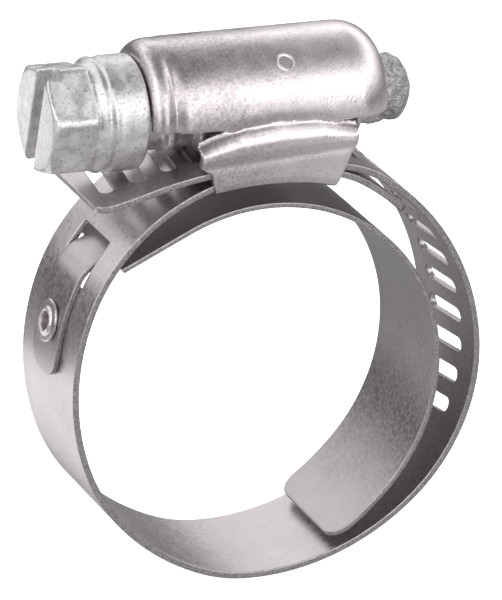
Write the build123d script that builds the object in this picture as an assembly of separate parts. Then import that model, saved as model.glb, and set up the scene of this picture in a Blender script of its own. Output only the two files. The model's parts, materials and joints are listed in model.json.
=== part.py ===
from build123d import *
from math import asin, atan2, cos, degrees, hypot, pi, radians, sin
import os

# Worm-drive hose clamp with an inner liner.
# Frame: the origin is the centre of the hose bore, the bore runs along Y and +Z is up.
# The screw lies along X above the bore, with its hex head towards -X. All sizes are in mm.

# The hose and the strips
BORE_RADIUS = 17.5
BAND_WIDTH = 12.7
BAND_THICKNESS = 0.62
LINER_THICKNESS = 0.5
FIT_GAP = 0.02
LAYER_GAP = 0.08

# The slotted half of the band swings about this line at the bottom of the loop
HINGE_X = -0.5
HINGE_Z = -18.75
HINGE_SLIT = 0.06
BOTTOM_TILT = -3.5
CHANNEL_TOP_RADIUS = 40.65

# Bends of the strips as (radius, degrees), in the order in which they are met
RIGHT_SIDE_BENDS = ((22.3, 44.6), (18.2, 57.0), (23.3, 48.9))
TAIL_START_X = -12.2
TAIL_BEND = (30.0, 9.0)
LEFT_BOTTOM_BEND = (14.0, 17.8)
LEFT_SNUG_DEGREES = 19.5
LEFT_SIDE_BEND = (22.1, 40.9)
FREE_END_DEGREES = 14.0
LINER_SNUG_DEGREES = 40
LINER_FREE_BEND = (24, 17.5)

# Corners of the strip ends
BAND_CORNER = 1.2
LINER_CORNER = 2.0
TONGUE_CORNER = 2.2
CORNER_REACH = 1.0
THICKEST_STRIP = 0.8

# The slots and the screw thread share one pitch
SLOT_PITCH = 3.05
SLOT_WIDTH = 1.4
SLOT_LENGTH = 7.0
SLOTS_RIGHT_OF_SCREW_CENTRE = 13
SLOTS_LEFT_OF_SCREW_CENTRE = 5
SLOT_PHASE_X = 0.8

# The screw
SCREW_Z = 25.8
THREAD_RADIUS = 4.42
THREAD_ROOT_RADIUS = 3.7
THREAD_START_X = -9.0
THREAD_END_X = 9.8
THREAD_CREST = 0.5
THREAD_FOOT = 0.9
SHANK_END_X = 11.2
PILOT_RADIUS = 3.35
PILOT_END_X = 15.7
PILOT_DOME_LENGTH = 1.9
PILOT_DOME_INSET = (0.55, 1.2)
THREAD_OVERLAP = 0.15
CORNER_CHAMFER = (0.55, 1.15)
COLLAR_RADIUS = 5.3
COLLAR_START_X = -15.5
COLLAR_END_X = -11.5
CONE_START_X = -16.4
HEX_ACROSS_FLATS = 9.4
HEX_END_X = -20.7
HEX_TURN = 13.0
DRIVER_SLOT_WIDTH = 2.0
DRIVER_SLOT_DEPTH = 1.7

# The housing, one stamping
SHEET = 0.75
BARREL_RADIUS = 6.55
BARREL_START_X = -11.4
BARREL_END_X = 12.1
BARREL_CUT_Z = SCREW_Z - 0.3
LIP_HOLE_RADIUS = 4.75
PILOT_FIT_GAP = 0.06
SADDLE_INNER_Y = 6.42
SADDLE_OUTER_Y = SADDLE_INNER_Y + SHEET
SEAM_HALF_GAP = 2.2
SADDLE_START = 16.7
SADDLE_END = 2.0
LEFT_WAIST = (-7.7, 23.8)
LEFT_TOP = (-7.3, 24.5)
ARCH_CROWN = (1.0, 26.9)
RIGHT_TOP = (8.2, 25.2)
RIGHT_WAIST = (8.4, 23.9)
SHOULDER_ROUND = 0.6
VALLEY_X = -9.3
VALLEY_DEPTH = 0.3
VALLEY_HALF_LENGTH = 1.5
LIP_ROUND = 0.7
DOME_LENGTH = 3.0
DOME_INSET = 0.85
NECK_LENGTH = 0.5

# The window, the tongue that comes out through it and the rivet
LINER_LEAVE_ANGLE = 116.0
WINDOW_WIDTH = 6.1
WINDOW_LENGTH = 5.0
WINDOW_FROM_BEND = 4.0
TONGUE_WIDTH = 5.6
LINER_TO_WINDOW = 8.4
SHOULDER_DISTANCE = 7.0
TONGUE_WRAP_DEGREES = 24.5
RIVET_ANGLE = 168.5
RIVET_HOLE_RADIUS = 1.15
RIVET_HOLE_REACH = 2
RIVET_BORE_RADIUS = 0.8
RIVET_FLANGE_RADIUS = 2.0
RIVET_FLANGE_THICKNESS = 0.3
RIVET_FLANGE_SAG = 0.12
RIVET_CLENCH_RADIUS = 1.7
RIVET_CLENCH_THICKNESS = 0.22
RIVET_CLENCH_SAG = 0.08

# Turns of the screw for which the free end under the slotted layer is shaped
TIGHTEN_TURNS = 0.5

BASE = (Align.CENTER, Align.CENTER, Align.MIN)


class Track:
    """A line in the XZ plane made of straight stretches and round bends, without corners."""

    def __init__(self, x, z, heading):
        self.x, self.z, self.heading = x, z, heading
        self.stretches = []
        self.length = 0.0

    def _add(self, turn_radius, amount):
        stretch = (self.length, self.x, self.z, self.heading, turn_radius, amount)
        self.stretches.append(stretch)
        self.x, self.z, self.heading = place_on(stretch, amount)
        self.length += amount
        return self

    def straight(self, length):
        return self._add(None, length)

    def left(self, radius, degrees_turned):
        return self._add(radius, radius * radians(degrees_turned))

    def right(self, radius, degrees_turned):
        return self._add(-radius, radius * radians(degrees_turned))

    def meet_circle(self, centre, radius, side):
        """Add the one bend that runs into a circle without a corner; side is +1 left, -1 right."""
        angle = radians(self.heading)
        normal = (-side * sin(angle), side * cos(angle))
        away = (self.x - centre[0], self.z - centre[1])
        room = radius + normal[0] * away[0] + normal[1] * away[1]
        bend = (radius**2 - away[0] ** 2 - away[1] ** 2) / (2 * room)
        middle = (away[0] + bend * normal[0], away[1] + bend * normal[1])
        inside = 1 if radius > bend else -1
        touch = degrees(atan2(inside * middle[1], inside * middle[0]))
        turned = (side * (touch + 90 * side - self.heading)) % 360
        return self._add(side * bend, bend * radians(turned))

    def at(self, distance):
        """Place (x, z, heading) at a distance from the start."""
        for stretch in self.stretches:
            if distance <= stretch[0] + stretch[5] + 1e-9:
                return place_on(stretch, distance - stretch[0])
        return self.x, self.z, self.heading

    def part(self, start, end):
        """The piece of the track between two distances."""
        piece = Track(*self.at(start))
        for begin, _, _, _, turn_radius, amount in self.stretches:
            first = max(start, begin)
            last = min(end, begin + amount)
            if last > first + 1e-6:
                piece._add(turn_radius, last - first)
        return piece

    def reversed(self):
        """The same line walked from its end."""
        back = Track(self.x, self.z, self.heading + 180)
        for _, _, _, _, turn_radius, amount in reversed(self.stretches):
            back._add(None if turn_radius is None else -turn_radius, amount)
        return back

    def side_edges(self, offset, y):
        """Edges of the line moved sideways; a positive offset is to the left."""
        edges = []
        for stretch in self.stretches:
            amount = stretch[5]
            ends = [shifted(place_on(stretch, amount * share), offset, y) for share in (0, 0.5, 1)]
            if stretch[4] is None:
                edges.append(Line(ends[0], ends[2]))
            else:
                edges.append(ThreePointArc(*ends))
        return edges

    def side_end(self, distance, offset, y):
        return shifted(self.at(distance), offset, y)


def place_on(stretch, amount):
    """Place (x, z, heading) some way along one stretch of a track."""
    _, x, z, heading, turn_radius, _ = stretch
    if turn_radius is None:
        return x + amount * cos(radians(heading)), z + amount * sin(radians(heading)), heading
    turned = heading + degrees(amount / turn_radius)
    cx = x - turn_radius * sin(radians(heading))
    cz = z + turn_radius * cos(radians(heading))
    return cx + turn_radius * sin(radians(turned)), cz - turn_radius * cos(radians(turned)), turned


def centre_of(stretch):
    """Centre of a bend."""
    _, x, z, heading, turn_radius, _ = stretch
    return x - turn_radius * sin(radians(heading)), z + turn_radius * cos(radians(heading))


def shifted(place, offset, y):
    x, z, heading = place
    return Vector(x - offset * sin(radians(heading)), y, z + offset * cos(radians(heading)))


def strip(track, thickness, width, offset=0.0):
    """Sheet metal of even thickness that follows a track, square to the XZ plane."""
    y = -width / 2
    left = offset + thickness / 2
    right = offset - thickness / 2
    start = Line(track.side_end(0, right, y), track.side_end(0, left, y))
    end = Line(track.side_end(track.length, left, y), track.side_end(track.length, right, y))
    outline = track.side_edges(left, y) + [end] + track.side_edges(right, y) + [start]
    return Solid.extrude(Face(Wire(outline)), Vector(0, width, 0))


def surface_plane(place):
    """Plane on a track: its normal points to the left of the track, its x axis is Y."""
    x, z, heading = place
    normal = Vector(-sin(radians(heading)), 0, cos(radians(heading)))
    return Plane(origin=(x, 0, z), x_dir=(0, 1, 0), z_dir=normal)


def rounded_ends(solid, x, z, radius):
    """Round the short corner edges of a strip that lie near a point."""
    corners = [
        edge
        for edge in solid.edges()
        if edge.length < THICKEST_STRIP
        and hypot(edge.center().X - x, edge.center().Z - z) < CORNER_REACH
    ]
    return fillet(corners, radius)


def slotted_track():
    """From the hinge up the right side, through the housing and out to the tail."""
    track = Track(HINGE_X, HINGE_Z, BOTTOM_TILT)
    for radius, turned in RIGHT_SIDE_BENDS:
        track.left(radius, turned)
    channel_radius = CHANNEL_TOP_RADIUS - BAND_THICKNESS / 2
    track.meet_circle((HINGE_X, HINGE_Z), channel_radius, 1)
    start_angle = asin((track.x - HINGE_X) / channel_radius)
    end_angle = asin((HINGE_X - TAIL_START_X) / channel_radius)
    track.left(channel_radius, degrees(start_angle + end_angle))
    return track.right(*TAIL_BEND)


def anchor_track():
    """From the hinge up the left side, under the slotted layer and out to the right."""
    track = Track(HINGE_X, HINGE_Z, 180 + BOTTOM_TILT)
    track.right(*LEFT_BOTTOM_BEND)
    bore_centre_line = BORE_RADIUS + FIT_GAP + BAND_THICKNESS / 2
    track.meet_circle((0, 0), bore_centre_line, -1)
    track.right(bore_centre_line, LEFT_SNUG_DEGREES)
    track.right(*LEFT_SIDE_BEND)
    layer_step = BAND_THICKNESS + LAYER_GAP
    channel_radius = CHANNEL_TOP_RADIUS - BAND_THICKNESS / 2 - layer_step
    track.meet_circle((HINGE_X, HINGE_Z), channel_radius, -1)
    # The free end copies the slotted layer as it lies when the clamp is fully tightened
    slotted = slotted_track()
    last_bend = slotted.stretches[3]
    leave_x, leave_z, _ = place_on(last_bend, last_bend[5])
    tighten_angle = degrees(TIGHTEN_TURNS * SLOT_PITCH / (channel_radius + layer_step))
    leave_angle = degrees(atan2(leave_z - HINGE_Z, leave_x - HINGE_X)) + tighten_angle
    arrive_angle = degrees(atan2(track.z - HINGE_Z, track.x - HINGE_X))
    track.right(channel_radius, arrive_angle - leave_angle)
    track.right(last_bend[4] - layer_step, degrees(last_bend[5] / last_bend[4]))
    return track.right(RIGHT_SIDE_BENDS[-1][0] - layer_step, FREE_END_DEGREES)


def liner_track(anchor):
    """From the free end at the lower right, over the top and out through the window."""
    centre_line = BORE_RADIUS + FIT_GAP + LINER_THICKNESS / 2
    free_side = Track(centre_line, 0, -90).right(centre_line, LINER_SNUG_DEGREES)
    free_side.right(*LINER_FREE_BEND)
    track = free_side.reversed()
    track.left(centre_line, LINER_LEAVE_ANGLE)
    track.straight(LINER_TO_WINDOW)
    side_bend = anchor.stretches[3]
    wrap_radius = -side_bend[4] + BAND_THICKNESS / 2 + FIT_GAP + LINER_THICKNESS / 2
    track.meet_circle(centre_of(side_bend), wrap_radius, 1)
    return track


def slot_distances(track):
    """Distances of the slots along the slotted half, counted from the slot under the screw."""
    channel = track.stretches[4]
    channel_radius = channel[4]
    start_angle = asin((channel[1] - HINGE_X) / channel_radius)
    phase_angle = asin((SLOT_PHASE_X - HINGE_X) / channel_radius)
    under_screw = channel[0] + channel_radius * (start_angle - phase_angle)
    counts = range(-SLOTS_RIGHT_OF_SCREW_CENTRE, SLOTS_LEFT_OF_SCREW_CENTRE + 1)
    return [under_screw + count * SLOT_PITCH for count in counts]


def band_slotted_half():
    track = slotted_track()
    band = strip(track.part(HINGE_SLIT / 2, track.length), BAND_THICKNESS, BAND_WIDTH)
    lead_angle = degrees(atan2(SLOT_PITCH, 2 * pi * (THREAD_RADIUS + THREAD_ROOT_RADIUS) / 2))
    for distance in slot_distances(track):
        plane = surface_plane(track.at(distance)).rotated((0, 0, lead_angle))
        outline = plane * SlotOverall(SLOT_LENGTH, SLOT_WIDTH)
        band -= extrude(outline, BAND_THICKNESS, both=True)
    return rounded_ends(band, track.x, track.z, BAND_CORNER)


def band_anchor_half():
    track = anchor_track()
    band = strip(track.part(HINGE_SLIT / 2, track.length), BAND_THICKNESS, BAND_WIDTH)
    bend = track.stretches[4]
    window_middle = bend[0] + WINDOW_FROM_BEND
    window = Box(WINDOW_WIDTH, WINDOW_LENGTH, 4 * BAND_THICKNESS)
    band -= surface_plane(track.at(window_middle)) * window
    band -= rivet_cylinder(RIVET_HOLE_RADIUS + FIT_GAP, -RIVET_HOLE_REACH, RIVET_HOLE_REACH)
    return rounded_ends(band, track.x, track.z, BAND_CORNER)


def rivet_plane():
    """On the outer face of the band: z points away from the hose."""
    side_bend = anchor_track().stretches[3]
    cx, cz = centre_of(side_bend)
    outer = -side_bend[4] + BAND_THICKNESS / 2
    direction = Vector(cos(radians(RIVET_ANGLE)), 0, sin(radians(RIVET_ANGLE)))
    return Plane(origin=Vector(cx, 0, cz) + direction * outer, x_dir=(0, 1, 0), z_dir=direction)


def rivet_cylinder(radius, bottom, top):
    height = top - bottom
    return rivet_plane() * Pos(0, 0, bottom) * Cylinder(radius, height, align=BASE)


def rivet():
    """Hollow rivet: a tube with a rolled flange outside and a flat clench inside."""
    outer_face = FIT_GAP + LINER_THICKNESS + RIVET_FLANGE_SAG
    inner_face = -BAND_THICKNESS - RIVET_CLENCH_SAG
    flange_top = outer_face + RIVET_FLANGE_THICKNESS
    clench_bottom = inner_face - RIVET_CLENCH_THICKNESS
    with BuildSketch(Plane.XZ) as section:
        with BuildLine():
            Polyline(
                (RIVET_HOLE_RADIUS, outer_face),
                (RIVET_HOLE_RADIUS, inner_face),
                (RIVET_CLENCH_RADIUS, inner_face),
                (RIVET_CLENCH_RADIUS, clench_bottom),
                (RIVET_BORE_RADIUS, clench_bottom),
                (RIVET_BORE_RADIUS, flange_top),
            )
            ThreePointArc(
                (RIVET_BORE_RADIUS, flange_top),
                ((RIVET_BORE_RADIUS + RIVET_FLANGE_RADIUS) / 2, flange_top + 0.15),
                (RIVET_FLANGE_RADIUS, outer_face + 0.1),
            )
            Polyline(
                (RIVET_FLANGE_RADIUS, outer_face + 0.1),
                (RIVET_FLANGE_RADIUS, outer_face),
                (RIVET_HOLE_RADIUS, outer_face),
            )
        make_face()
    return rivet_plane() * revolve(section.sketch, Axis.Z)


def liner():
    """Thin inner strip; its narrow tongue comes out through the window in the band."""
    anchor = anchor_track()
    track = liner_track(anchor)
    shoulder = track.stretches[3][0] + SHOULDER_DISTANCE
    body = strip(track.part(0, shoulder), LINER_THICKNESS, BAND_WIDTH)
    start_x, start_z, _ = track.at(0)
    body = rounded_ends(body, start_x, start_z, LINER_CORNER)
    wrap_radius = -anchor.stretches[3][4] + BAND_THICKNESS / 2 + FIT_GAP + LINER_THICKNESS / 2
    track.left(wrap_radius, TONGUE_WRAP_DEGREES)
    tongue = strip(track.part(shoulder, track.length), LINER_THICKNESS, TONGUE_WIDTH)
    tongue = rounded_ends(tongue, track.x, track.z, TONGUE_CORNER)
    return body + tongue - rivet_cylinder(RIVET_HOLE_RADIUS + FIT_GAP, -RIVET_HOLE_REACH, RIVET_HOLE_REACH)


def saddle():
    """The two side walls with their folded feet under the band, open inside."""
    anchor = anchor_track()
    under = anchor.part(anchor.stretches[4][0] + SADDLE_START, anchor.stretches[6][0] + SADDLE_END)
    band_face = -BAND_THICKNESS / 2
    y = -SADDLE_OUTER_Y
    bottom = under.side_edges(band_face - SHEET, y)
    left_foot = under.side_end(0, band_face - SHEET, y)
    right_foot = under.side_end(under.length, band_face - SHEET, y)
    left_side = [left_foot, (LEFT_WAIST[0], y, LEFT_WAIST[1]), (LEFT_TOP[0], y, LEFT_TOP[1])]
    right_side = [(RIGHT_TOP[0], y, RIGHT_TOP[1]), (RIGHT_WAIST[0], y, RIGHT_WAIST[1]), right_foot]
    arch = ThreePointArc(left_side[-1], (ARCH_CROWN[0], y, ARCH_CROWN[1]), right_side[0])
    sides = Polyline(*left_side).edges() + Polyline(*right_side).edges()
    outline = bottom + sides + [arch]
    block = Solid.extrude(Face(Wire(outline)), Vector(0, 2 * SADDLE_OUTER_Y, 0))
    crest = [edge for edge in block.edges() if edge.length > 10 and edge.center().Z > SCREW_Z]
    crest = [edge for edge in crest if abs(edge.center().Y) > SADDLE_OUTER_Y - 0.01]
    block = fillet(crest, SHOULDER_ROUND)
    y = -SADDLE_INNER_Y
    floor = anchor.part(anchor.stretches[4][0] + SADDLE_START - 4, anchor.length - 1)
    ends = [floor.side_end(0, band_face, y), floor.side_end(floor.length, band_face, y)]
    roof_z = SCREW_Z + 4
    roof = Polyline(ends[0], (ends[0].X, y, roof_z), (ends[1].X, y, roof_z), ends[1])
    hollow = Face(Wire(floor.side_edges(band_face, y) + roof.edges()))
    block -= Solid.extrude(hollow, Vector(0, 2 * SADDLE_INNER_Y, 0))
    seam = Pos(0, 0, HINGE_Z + CHANNEL_TOP_RADIUS - 3) * Box(40, 2 * SEAM_HALF_GAP, 4)
    return block - seam


def barrel():
    """Upper half shell around the screw: rolled lip at the head end, drawn in at the pilot end."""
    inner = BARREL_RADIUS - SHEET
    neck = PILOT_RADIUS + PILOT_FIT_GAP
    dome_start = BARREL_END_X - DOME_LENGTH
    with BuildSketch(Plane.XZ) as section:
        with BuildLine():
            Polyline(
                (BARREL_START_X, LIP_HOLE_RADIUS),
                (BARREL_START_X, BARREL_RADIUS - LIP_ROUND),
            )
            RadiusArc(
                (BARREL_START_X, BARREL_RADIUS - LIP_ROUND),
                (BARREL_START_X + LIP_ROUND, BARREL_RADIUS),
                LIP_ROUND,
            )
            Spline(
                (BARREL_START_X + LIP_ROUND, BARREL_RADIUS),
                (VALLEY_X, BARREL_RADIUS - VALLEY_DEPTH),
                (VALLEY_X + VALLEY_HALF_LENGTH, BARREL_RADIUS),
                tangents=((1, 0), (1, 0)),
            )
            Line((VALLEY_X + VALLEY_HALF_LENGTH, BARREL_RADIUS), (dome_start, BARREL_RADIUS))
            ThreePointArc(
                (dome_start, BARREL_RADIUS),
                (BARREL_END_X - DOME_INSET, BARREL_RADIUS - DOME_INSET),
                (BARREL_END_X, neck + NECK_LENGTH),
            )
            Polyline(
                (BARREL_END_X, neck + NECK_LENGTH),
                (BARREL_END_X, neck),
                (BARREL_END_X - SHEET, neck),
            )
            ThreePointArc(
                (BARREL_END_X - SHEET, neck),
                (BARREL_END_X - DOME_INSET - SHEET * 0.75, inner - DOME_INSET),
                (dome_start, inner),
            )
            Polyline(
                (dome_start, inner),
                (BARREL_START_X + SHEET, inner),
                (BARREL_START_X + SHEET, LIP_HOLE_RADIUS),
                (BARREL_START_X, LIP_HOLE_RADIUS),
            )
        make_face()
    shell = Pos(0, 0, SCREW_Z) * revolve(section.sketch, Axis.X)
    lower = Pos(0, 0, BARREL_CUT_Z - 10) * Box(60, 40, 20)
    return shell - lower


def housing():
    return saddle() + barrel()


def thread():
    """Right-hand worm thread with a ridge at the bottom of the screw over the slot under it."""
    length = THREAD_END_X - THREAD_START_X
    helix = Helix(SLOT_PITCH, length, THREAD_ROOT_RADIUS)
    ridge = Plane(origin=helix @ 0, x_dir=(1, 0, 0), z_dir=helix % 0)
    half_foot = THREAD_FOOT / 2
    half_crest = THREAD_CREST / 2
    depth = THREAD_RADIUS - THREAD_ROOT_RADIUS
    section = ridge * make_face(
        Polyline(
            (-THREAD_OVERLAP, -half_foot), (0, -half_foot), (depth, -half_crest),
            (depth, half_crest), (0, half_foot), (-THREAD_OVERLAP, half_foot), close=True,
        )
    )
    coil = sweep(section, path=helix, is_frenet=True)
    # Turn the coil so that the ridge is lowest at the slot under the screw
    start_angle = 360 * (THREAD_START_X - SLOT_PHASE_X) / SLOT_PITCH
    return Pos(THREAD_START_X, 0, SCREW_Z) * Rot(start_angle, 0, 0) * Rot(0, 90, 0) * coil


def threaded_shank():
    length = SHANK_END_X - COLLAR_END_X
    core = Cylinder(THREAD_ROOT_RADIUS, length, align=BASE)
    return Pos(COLLAR_END_X, 0, SCREW_Z) * Rot(0, 90, 0) * core + thread()


def collar():
    """The cone behind the hexagon and the collar that bears on the lip of the housing."""
    cone_radius = HEX_ACROSS_FLATS / 2 - 0.2
    edge_break = 0.25
    with BuildSketch(Plane.XZ) as section:
        with BuildLine():
            Polyline(
                (CONE_START_X, 0),
                (CONE_START_X, cone_radius),
                (COLLAR_START_X, COLLAR_RADIUS),
                (COLLAR_END_X - edge_break, COLLAR_RADIUS),
                (COLLAR_END_X, COLLAR_RADIUS - edge_break),
                (COLLAR_END_X, 0),
                close=True,
            )
        make_face()
    return Pos(0, 0, SCREW_Z) * revolve(section.sketch, Axis.X)


def pilot():
    """The plain end that turns in the drawn-in end of the housing, with a domed tip."""
    dome_start = PILOT_END_X - PILOT_DOME_LENGTH
    with BuildSketch(Plane.XZ) as section:
        with BuildLine():
            Polyline((dome_start, PILOT_RADIUS), (SHANK_END_X, PILOT_RADIUS))
            Polyline((SHANK_END_X, PILOT_RADIUS), (SHANK_END_X, 0), (PILOT_END_X, 0))
            ThreePointArc(
                (PILOT_END_X, 0),
                (PILOT_END_X - PILOT_DOME_INSET[0], PILOT_RADIUS - PILOT_DOME_INSET[1]),
                (dome_start, PILOT_RADIUS),
            )
        make_face()
    return Pos(0, 0, SCREW_Z) * revolve(section.sketch, Axis.X)


def hex_head():
    """Six flats with the corners of the end face turned off."""
    length = CONE_START_X + 0.3 - HEX_END_X
    corner_radius = HEX_ACROSS_FLATS / 2 / cos(pi / 6)
    prism = extrude(RegularPolygon(corner_radius, 6, rotation=HEX_TURN), length)
    end_cone = Cylinder(corner_radius, length, align=BASE)
    end_cone = chamfer(end_cone.edges().group_by(Axis.Z)[0], *CORNER_CHAMFER)
    head = prism & end_cone
    return Pos(HEX_END_X, 0, SCREW_Z) * Rot(0, 90, 0) * head


def worm_screw():
    """One turned piece; the driver slot runs from corner to corner of the hexagon."""
    slot_cut = Rot(0, 0, HEX_TURN) * Box(40, DRIVER_SLOT_WIDTH, 2 * DRIVER_SLOT_DEPTH)
    slot_cut = Pos(HEX_END_X, 0, SCREW_Z) * Rot(0, 90, 0) * slot_cut
    return threaded_shank() + collar() + pilot() + hex_head() - slot_cut


PARTS = {
    "worm_screw": worm_screw,
    "housing": housing,
    "band_anchor_half": band_anchor_half,
    "band_slotted_half": band_slotted_half,
    "liner": liner,
    "hollow_rivet": rivet,
}

os.makedirs("parts", exist_ok=True)
for node, make in PARTS.items():
    shape = make()
    export_step(shape, f"parts/{node}.step")
    print(node, round(shape.volume, 2), "mm3", len(shape.solids()), "solid")
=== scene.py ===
"""Looks of a worm-drive hose clamp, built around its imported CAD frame.

Lengths are in millimetres until a mesh is made. X runs along the screw with its head at -X,
Y along the hose with the near side at -Y, and Z up. The origin is the centre of the hose bore.
"""

import json
import math

import bmesh
import bpy
import numpy as np
from mathutils import Matrix, Vector


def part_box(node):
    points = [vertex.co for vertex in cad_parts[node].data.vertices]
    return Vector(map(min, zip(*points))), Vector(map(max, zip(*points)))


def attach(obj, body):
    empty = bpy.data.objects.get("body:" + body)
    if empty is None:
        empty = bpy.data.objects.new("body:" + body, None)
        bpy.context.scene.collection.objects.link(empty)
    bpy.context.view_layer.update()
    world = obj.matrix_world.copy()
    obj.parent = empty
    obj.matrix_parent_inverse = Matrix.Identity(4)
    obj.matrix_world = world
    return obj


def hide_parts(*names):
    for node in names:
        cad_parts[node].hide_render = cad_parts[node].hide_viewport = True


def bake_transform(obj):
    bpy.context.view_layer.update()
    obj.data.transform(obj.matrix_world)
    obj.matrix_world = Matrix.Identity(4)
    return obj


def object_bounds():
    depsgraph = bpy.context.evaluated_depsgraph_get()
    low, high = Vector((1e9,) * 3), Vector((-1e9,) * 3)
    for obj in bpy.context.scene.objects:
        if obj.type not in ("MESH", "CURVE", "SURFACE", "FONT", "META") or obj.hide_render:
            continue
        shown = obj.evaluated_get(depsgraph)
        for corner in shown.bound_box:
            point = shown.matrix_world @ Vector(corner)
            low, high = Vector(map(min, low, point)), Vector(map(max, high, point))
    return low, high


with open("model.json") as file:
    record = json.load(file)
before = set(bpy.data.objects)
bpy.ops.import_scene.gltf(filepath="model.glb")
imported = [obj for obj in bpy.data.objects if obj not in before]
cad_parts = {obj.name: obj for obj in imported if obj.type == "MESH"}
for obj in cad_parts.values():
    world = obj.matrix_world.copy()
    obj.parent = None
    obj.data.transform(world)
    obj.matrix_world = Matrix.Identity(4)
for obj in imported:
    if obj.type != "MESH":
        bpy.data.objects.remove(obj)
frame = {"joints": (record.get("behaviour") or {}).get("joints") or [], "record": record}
cad_low, cad_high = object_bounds()

MM = 0.001


def cad_box(node):
    """Lowest and highest corner of a CAD node in millimetres."""
    low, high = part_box(node)
    return low / MM, high / MM


SCREW_LOW, SCREW_HIGH = cad_box("worm_screw")
HOUSING_LOW, HOUSING_HIGH = cad_box("housing")
SLOTTED_LOW, SLOTTED_HIGH = cad_box("band_slotted_half")
JOINTS = {joint["name"]: joint for joint in frame["joints"]}
HOSE_BORE = frame["record"]["mounts"][0]

# Strips
BORE_RADIUS = HOSE_BORE["dims"]["r_mm"]
BAND_WIDTH = HOSE_BORE["dims"]["length_mm"]
BAND_THICKNESS = 0.62
LINER_THICKNESS = 0.5
FIT_GAP = 0.02
LAYER_GAP = 0.08
EDGE_ROUNDING = 0.09
BEND_STEP = 0.5

# Loop of the band
HINGE_X = JOINTS["band_travel"]["pos_m"][0] / MM
HINGE_Z = JOINTS["band_travel"]["pos_m"][2] / MM
BOTTOM_TILT = -3.5
CHANNEL_RADIUS = SLOTTED_HIGH.z - HINGE_Z - BAND_THICKNESS / 2

# Bends of the strips as (radius, degrees), in the order in which they are met
RIGHT_SIDE_BENDS = ((22.3, 44.6), (18.2, 57.0), (23.3, 48.9))
TAIL_START_X = -12.2
TAIL_BEND = (30.0, 9.0)
LEFT_BOTTOM_BEND = (14.0, 17.8)
LEFT_SNUG_DEGREES = 19.5
LEFT_SIDE_BEND = (22.1, 40.9)
FREE_END_DEGREES = 14.0
LINER_SNUG_DEGREES = 40
LINER_FREE_BEND = (24, 17.5)
# Turns of the screw for which the free end under the slotted layer is shaped
TIGHTEN_TURNS = 0.5

# Corners of the strip ends and of the window
BAND_CORNER = 1.2
LINER_CORNER = 2.0
TONGUE_CORNER = 2.2
WINDOW_CORNER = 0.25

# Slots
SLOT_PITCH = 3.05
SLOT_WIDTH = 1.4
SLOT_LENGTH = 7.0
SLOTS_RIGHT = 13
SLOTS_LEFT = 5
SLOT_PHASE_X = 0.8

# Window, tongue and rivet
LINER_LEAVE_ANGLE = 116.0
WINDOW_WIDTH = 6.1
WINDOW_LENGTH = 5.0
WINDOW_FROM_BEND = 4.0
TONGUE_WIDTH = 5.6
LINER_TO_WINDOW = 8.4
SHOULDER_DISTANCE = 7.0
TONGUE_WRAP = 24.5
RIVET_ANGLE = 168.5
RIVET_HOLE_RADIUS = 1.15

# Screw
SCREW_Z = JOINTS["screw_turn"]["pos_m"][2] / MM
THREAD_RADIUS = 4.42
ROOT_RADIUS = 3.7
SLOT_LEAD = math.atan2(SLOT_PITCH, (THREAD_RADIUS + ROOT_RADIUS) * math.pi)
SHANK_END_X = 11.2
PILOT_RADIUS = 3.35
PILOT_DOME = 2.2
COLLAR_RADIUS = (SCREW_HIGH.y - SCREW_LOW.y) / 2
COLLAR_START_X = -15.5
COLLAR_END_X = -11.5
CONE_START_X = -16.4
HEX_ACROSS_FLATS = 9.4
HEX_TURN = math.radians(13.0)
DRIVER_SLOT_WIDTH = 2.0
DRIVER_SLOT_DEPTH = 1.7

# Housing
SHEET = 0.75
BARREL_RADIUS = HOUSING_HIGH.z - SCREW_Z
BARREL_START_X = HOUSING_LOW.x
BARREL_END_X = HOUSING_HIGH.x
LIP_ROUND = 1.3
LIP_HOLE_RADIUS = 4.75
VALLEY_X = -9.4
VALLEY_DEPTH = 0.6
VALLEY_HALF_WIDTH = 0.7
DOME_LENGTH = 3.0
DOME_SHARE = 0.85
NECK_GAP = 0.1
CREASE_DEPTH = 0.32
CREASE_HALF_WIDTH = 0.45
SADDLE_Y = HOUSING_HIGH.y
SADDLE_START_X = -6.5
SADDLE_LENGTH = 14
SEAM_HALF_GAP = 2.2

# Size of the cells from which the solid metal pieces are fused
VOXEL = 0.13


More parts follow.
